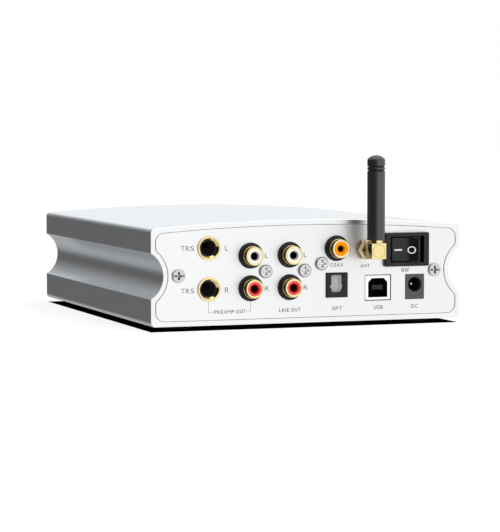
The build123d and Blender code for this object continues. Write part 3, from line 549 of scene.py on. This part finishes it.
def legend_piece():
    out = bmesh.new()
    for words, u0, u1, z0, z1 in LEGENDS:
        gap = 0.12 if words == "SW" else GAP
        total = sum(CELL.get(c, 1.0) for c in words) + gap * (len(words) - 1)
        unit = (u1 - u0) / total
        at = u0
        for c in words:
            wide = CELL.get(c, 1.0) * unit
            if c == " ":
                at += wide + gap * unit
                continue
            me = text_mesh(c, WEIGHT[words] - (0.008 if c == "M" else -0.018 if c in "OU" else 0.0))
            low = z0 - (0.14 if c == "W" else 0.0)
            xs = [v.co.x for v in me.vertices]
            ys = [v.co.y for v in me.vertices]
            lx, hx, ly, hy = min(xs), max(xs), min(ys), max(ys)
            b = bmesh.new()
            b.from_mesh(me)
            for v in b.verts:
                u = K * (at + (v.co.x - lx) / (hx - lx) * wide)
                z = K * (low + (v.co.y - ly) / (hy - ly) * (z1 - low))
                v.co = Vector(rear_point(u, z, 0.012)) * MM
            at += wide + gap * unit
            bmesh.ops.remove_doubles(b, verts=b.verts, dist=1e-7)
            # give the print a real thickness
            r = bmesh.ops.extrude_face_region(b, geom=b.faces[:])
            for v in [g for g in r["geom"] if isinstance(g, bmesh.types.BMVert)]:
                v.co.y -= 0.010 * MM
            tmp = bpy.data.meshes.new("tmp")
            b.to_mesh(tmp)
            b.free()
            out.from_mesh(tmp)
            bpy.data.meshes.remove(tmp)
            bpy.data.meshes.remove(me)
    bmesh.ops.recalc_face_normals(out, faces=out.faces[:])
    me = bpy.data.meshes.new("rear_legends")
    out.to_mesh(me)
    out.free()
    ob = bpy.data.objects.new("rear_legends", me)
    scene.collection.objects.link(ob)
    me.materials.append(legend_grey)
    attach(ob, "chassis")
    return ob


legend_piece()

# bracket lines that tie the paired outputs to their legend
verts, faces = [], []
w = 0.13
for side in (0, 1):
    if side == 0:
        u, z_top, u_end = -46.7 * K, 10.4 * K, -44.9 * K
        path = [(u - w, z_top), (u - w, 5.8 * K - w), (u_end, 5.8 * K - w), (u_end, 5.8 * K + w),
                (u + w, 5.8 * K + w), (u + w, z_top)]
    else:
        u, z_top, u_end = -27.3 * K, 10.2 * K, -29.0 * K
        path = [(u + w, z_top), (u - w, z_top), (u - w, 5.8 * K + w), (u_end, 5.8 * K + w),
                (u_end, 5.8 * K - w), (u + w, 5.8 * K - w)]
    plate(verts, faces, path, 0.002, 0.012, rear_point)
add_mesh("legend_brackets", verts, faces, "chassis", line_grey)

# ------------------------------------------------------------------ barrel flanges
def turned_ring(verts, faces, cx, cz, profile, seg=72):
    # closed ring about an axis square to the panel; profile is (radius, height) points
    base = len(verts)
    n = len(profile)
    for k in range(seg):
        a = 2 * math.pi * k / seg
        for r, y in profile:
            verts.append((cx + r * math.cos(a), y, cz + r * math.sin(a)))
    for k in range(seg):
        k2 = (k + 1) % seg
        for i in range(n):
            j = (i + 1) % n
            faces.append([base + k * n + i, base + k2 * n + i, base + k2 * n + j, base + k * n + j])


def barrel_axes():
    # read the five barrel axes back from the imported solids
    found = []
    for name in ("rca_barrels", "coax_barrel"):
        me = nodes[name].data
        mw = nodes[name].matrix_world
        pts = [mw @ v.co for v in me.vertices]
        top = max(p.y for p in pts)
        rim = [p for p in pts if p.y > top - 0.00002]
        groups = []
        for p in rim:
            for g in groups:
                if (p.x - g[0].x) ** 2 + (p.z - g[0].z) ** 2 < 0.0095 ** 2:
                    g.append(p)
                    break
            else:
                groups.append([p])
        for g in groups:
            found.append(((min(p.x for p in g) + max(p.x for p in g)) / 2 / MM,
                          (min(p.z for p in g) + max(p.z for p in g)) / 2 / MM))
    return found


collar = REAR + 0.8
verts, faces = [], []
for cx, cz in barrel_axes():
    y0 = collar + 0.02
    turned_ring(verts, faces, cx, cz, [(4.12, y0), (4.24, y0), (4.28, y0 + 0.05), (4.28, y0 + 1.82),
                                       (4.25, y0 + 1.92), (4.15, y0 + 2.16), (4.12, y0 + 2.17)])
add_mesh("phono_barrel_flanges", verts, faces, "chassis", M["gold_plate"], smooth=True)
bm = bmesh.new()
me = bpy.data.objects["phono_barrel_flanges"].data
bm.from_mesh(me)
bmesh.ops.recalc_face_normals(bm, faces=bm.faces[:])
bm.to_mesh(me)
bm.free()

# ------------------------------------------------------------------ rocker marks
pivot = next(j for j in frame["joints"] if j["name"] == "rocker_tilt")["pos_m"]
px, py, pz = (c / MM for c in pivot)
tip = math.radians(-10.0)
VALLEY_R = 12.0


def on_rocker(side, along, up, out):
    # a point on the rocker's face, drawn level and then tipped as it rests;
    # side +1 is the I half, -1 the O half
    slope = math.radians(10.0)
    reach = VALLEY_R * math.tan(slope)
    if along < reach:
        out += VALLEY_R - math.sqrt(VALLEY_R ** 2 - (reach - along) ** 2)
    x = side * (along * math.cos(slope)) - side * out * math.sin(slope)
    y = 4.0 + along * math.sin(slope) + out * math.cos(slope)
    return (px + x * math.cos(tip) - y * math.sin(tip),
            py + x * math.sin(tip) + y * math.cos(tip), pz + up)


verts, faces = [], []
plate(verts, faces, [(3.36 - 1.8, -0.58), (3.36 + 1.8, -0.58), (3.36 + 1.8, 0.12), (3.36 - 1.8, 0.12)],
      0.0, 0.03, lambda a, b, o: on_rocker(1, a, b, o + 0.004))
seg = 48
for k in range(seg):
    a0, a1 = 2 * math.pi * k / seg, 2 * math.pi * (k + 1) / seg
    for q in ((1.30, 1.82),):
        r0, r1 = q
        base = len(verts)
        for out in (0.0, 0.03):
            for r, a in ((r0, a0), (r1, a0), (r1, a1), (r0, a1)):
                verts.append(on_rocker(-1, 2.94 + 1.04 * r * math.cos(a), -0.3 + 0.91 * r * math.sin(a),
                                       out + 0.004))
        f = [base + i for i in range(8)]
        faces += [[f[4], f[5], f[6], f[7]], [f[3], f[2], f[1], f[0]],
                  [f[1], f[2], f[6], f[5]], [f[3], f[0], f[4], f[7]]]
marks = add_mesh("switch_marks", verts, faces, "rocker", mark_white)
bm = bmesh.new()
bm.from_mesh(marks.data)
bmesh.ops.remove_doubles(bm, verts=bm.verts, dist=1e-7)
bmesh.ops.recalc_face_normals(bm, faces=bm.faces[:])
bm.to_mesh(marks.data)
bm.free()

# ------------------------------------------------------------------ display figures
glow, nt, bsdf = new_material("display_glow")
n = noise(nt, coords(nt), 1.5, 2.0)
bsdf.inputs["Base Color"].default_value = (0.05, 0.05, 0.05, 1)
link(nt, mix_colour(nt, remap(nt, n, 0.0, 1.0), (0.75, 0.86, 1.0), (0.86, 0.93, 1.0)),
     bsdf.inputs["Emission Color"])
bsdf.inputs["Emission Strength"].default_value = 0.75
link(nt, remap(nt, n, 0.3, 0.4), bsdf.inputs["Roughness"])

SEGMENTS = {"-": "g", "2": "abged", "0": "abcdef", "4": "fgbc", "8": "abcdefg"}
win_lo, win_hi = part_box("display_window")
wx = (win_lo.x + win_hi.x) / 2 / MM
wzc = (win_lo.z + win_hi.z) / 2 / MM
wy = win_lo.y / MM


def front_point(a, b, out):
    # a to the right as seen from the front, b up from the window's middle
    return (wx + a, wy - out, wzc + b)


def digit(verts, faces, ch, cx, h=7.6, wdt=4.3, t=0.85):
    g = 0.12
    hw, hh = wdt / 2, h / 2
    spots = {"a": (0, hh, 1), "g": (0, 0, 1), "d": (0, -hh, 1),
             "f": (-hw, hh / 2, 0), "b": (hw, hh / 2, 0), "e": (-hw, -hh / 2, 0), "c": (hw, -hh / 2, 0)}
    lean = math.tan(math.radians(6))
    for s in SEGMENTS[ch]:
        x, y, flat = spots[s]
        half = (hw if flat else hh / 2) - g
        if flat:
            pts = [(-half, 0), (-half + t / 2, -t / 2), (half - t / 2, -t / 2), (half, 0),
                   (half - t / 2, t / 2), (-half + t / 2, t / 2)]
        else:
            pts = [(0, -half), (t / 2, -half + t / 2), (t / 2, half - t / 2), (0, half),
                   (-t / 2, half - t / 2), (-t / 2, -half + t / 2)]
        out = [(cx + x + a + (y + b) * lean, y + b) for a, b in pts]
        plate(verts, faces, out, 0.002, 0.03, front_point)


verts, faces = [], []
for ch, cx in (("-", 8.0), ("2", 15.5), ("0", 22.5)):
    digit(verts, faces, ch, cx)
add_mesh("display_digits", verts, faces, "chassis", glow)

# ------------------------------------------------------------------ stage
floor_me = bpy.data.meshes.new("floor")
fs = 30.0
floor_me.from_pydata([(-fs, -fs, 0), (fs, -fs, 0), (fs, fs, 0), (-fs, fs, 0)], [], [(0, 1, 2, 3)])
floor = bpy.data.objects.new("floor", floor_me)
scene.collection.objects.link(floor)
floor.location.z = -0.00002
floor.visible_glossy = False

fm = bpy.data.materials.new("pale_floor")
fm.use_nodes = True
nt = fm.node_tree
nt.nodes.clear()
out = nt.nodes.new("ShaderNodeOutputMaterial")
dif = nt.nodes.new("ShaderNodeBsdfDiffuse")
emi = nt.nodes.new("ShaderNodeEmission")
mixs = nt.nodes.new("ShaderNodeMixShader")
geo = nt.nodes.new("ShaderNodeNewGeometry")
sep = nt.nodes.new("ShaderNodeSeparateXYZ")
link(nt, geo.outputs["Position"], sep.inputs[0])


def inside(sock, half, soft):
    a = math_node(nt, "ABSOLUTE", sock)
    return remap(nt, a, 1.0, 0.0, half - soft, half + soft, True)


# painted contact shadow: the floor is painted black under the case's footprint
contact_shadow = math_node(nt, "MULTIPLY", inside(sep.outputs[0], 72.2 * MM, 0.3 * MM),
                 inside(sep.outputs[1], 85.7 * MM, 0.3 * MM))
lit = math_node(nt, "SUBTRACT", 1.0, contact_shadow)
speck = noise(nt, geo.outputs["Position"], 0.02, 3.0)
tone = mix_colour(nt, remap(nt, speck, 0.0, 1.0), (0.965, 0.965, 0.965), (0.985, 0.985, 0.985))
col = mix_colour(nt, contact_shadow, tone, (0.0, 0.0, 0.0))
link(nt, col, dif.inputs["Color"])
link(nt, col, emi.inputs["Color"])
emi.inputs["Strength"].default_value = 1.33
mixs.inputs[0].default_value = 0.50
link(nt, dif.outputs[0], mixs.inputs[1])
link(nt, emi.outputs[0], mixs.inputs[2])
link(nt, mixs.outputs[0], out.inputs[0])
floor_me.materials.append(fm)

# surroundings: a white studio with a dark flag on the object's right-hand side
world = bpy.data.worlds.new("studio")
scene.world = world
world.use_nodes = True
nt = world.node_tree
nt.nodes.clear()
out = nt.nodes.new("ShaderNodeOutputWorld")
bg = nt.nodes.new("ShaderNodeBackground")
tc = nt.nodes.new("ShaderNodeTexCoord")
sep = nt.nodes.new("ShaderNodeSeparateXYZ")
link(nt, tc.outputs["Generated"], sep.inputs[0])
x, y, z = sep.outputs
D = math.pi / 180
az = math_node(nt, "ARCTAN2", x, math_node(nt, "MULTIPLY", y, -1.0))
el = math_node(nt, "ARCSINE", z)
rise = remap(nt, az, 0.0, 1.0, -14 * D, 9 * D, True)
fall = remap(nt, az, 1.0, 0.0, 160 * D, 178 * D, True)
above = remap(nt, el, 1.0, 0.0, 3 * D, 62 * D)
below = remap(nt, el, 0.66, 1.0, -13 * D, -6 * D, True)
flank = math_node(nt, "MULTIPLY", rise, fall)
band = math_node(nt, "MULTIPLY", above, below)
depth = remap(nt, az, 0.892, 0.97, 20 * D, 70 * D, True)
dark = math_node(nt, "MULTIPLY", math_node(nt, "MULTIPLY", flank, band), depth)
low_az = math_node(nt, "MULTIPLY", remap(nt, az, 0.0, 1.0, -40 * D, -8 * D, True), fall)
low = math_node(nt, "MULTIPLY", low_az, remap(nt, el, 0.57, 0.0, -14 * D, -7 * D, True))
# the front end of the room is a little cooler and dimmer than the rest
front_az = math_node(nt, "MULTIPLY", remap(nt, az, 0.0, 1.0, -75 * D, -45 * D, True),
                     remap(nt, az, 1.0, 0.0, 25 * D, 60 * D, True))
front_el = remap(nt, math_node(nt, "ABSOLUTE", el), 1.0, 0.0, 30 * D, 60 * D, True)
room = mix_colour(nt, math_node(nt, "MULTIPLY", front_az, front_el), (1.0, 1.0, 1.0),
                  (0.885, 0.916, 0.942))
# a brighter patch straight behind the socket panel, and a softer ceiling above it
toward = math_node(nt, "ADD", math_node(nt, "MULTIPLY", x, -0.342), math_node(nt, "MULTIPLY", y, 0.940))
key = remap(nt, toward, 1.0, 1.13, 0.86, 0.975, True)
ceiling = math_node(nt, "MULTIPLY", remap(nt, el, 0.0, 1.0, 12 * D, 26 * D, True),
                    remap(nt, y, 0.0, 1.0, -0.15, 0.30, True))
gain = math_node(nt, "MULTIPLY", key, math_node(nt, "SUBTRACT", 1.0, math_node(nt, "MULTIPLY", ceiling, 0.22)))
env = mix_colour(nt, math_node(nt, "MAXIMUM", dark, low), room, (0.0, 0.0, 0.0))
scaled = nt.nodes.new("ShaderNodeVectorMath")
scaled.operation = "SCALE"
link(nt, env, scaled.inputs[0])
link(nt, gain, scaled.inputs["Scale"])
env = scaled.outputs["Vector"]
lp = nt.nodes.new("ShaderNodeLightPath")
final = mix_colour(nt, lp.outputs["Is Camera Ray"], env, (1.0, 1.0, 1.0))
link(nt, final, bg.inputs["Color"])
bg.inputs["Strength"].default_value = 1.0
link(nt, bg.outputs[0], out.inputs[0])


def area(name, loc, target, size, power, colour=(1, 1, 1)):
    la = bpy.data.lights.new(name, "AREA")
    la.shape = "RECTANGLE"
    la.size, la.size_y = size
    la.energy = power
    la.color = colour
    ob = bpy.data.objects.new(name, la)
    scene.collection.objects.link(ob)
    ob.location = loc
    ob.rotation_mode = "QUATERNION"
    ob.rotation_quaternion = (Vector(target) - Vector(loc)).to_track_quat("-Z", "Y")
    ob.visible_camera = False
    return ob


area("top_softbox", (-0.25, 0.15, 1.1), (0, 0, 0), (1.2, 1.2), 2.0)
fill = area("rear_fill", (-0.35, 1.0, 0.45), (0, 0.08, 0.02), (0.7, 0.7), 4.0)
fill.visible_glossy = False

# ------------------------------------------------------------------ camera
yaw, pitch = 19.903 * D, 3.857 * D
cam_data = bpy.data.cameras.new("camera")
cam = bpy.data.objects.new("camera", cam_data)
scene.collection.objects.link(cam)
cam.location = (0.368397, 1.027980, 0.092937 + FOOT * MM)
forward = Vector((-math.sin(yaw) * math.cos(pitch), -math.cos(yaw) * math.cos(pitch), -math.sin(pitch)))
cam.rotation_mode = "QUATERNION"
cam.rotation_quaternion = forward.to_track_quat("-Z", "Y")
cam_data.sensor_width = 36.0
cam_data.lens = 156.85
cam_data.clip_start, cam_data.clip_end = 0.01, 100.0
scene.camera = cam

scene.view_settings.view_transform = "Standard"
scene.view_settings.look = "None"
scene.view_settings.exposure = 0.0
scene.view_settings.gamma = 1.0

bpy.context.view_layer.update()
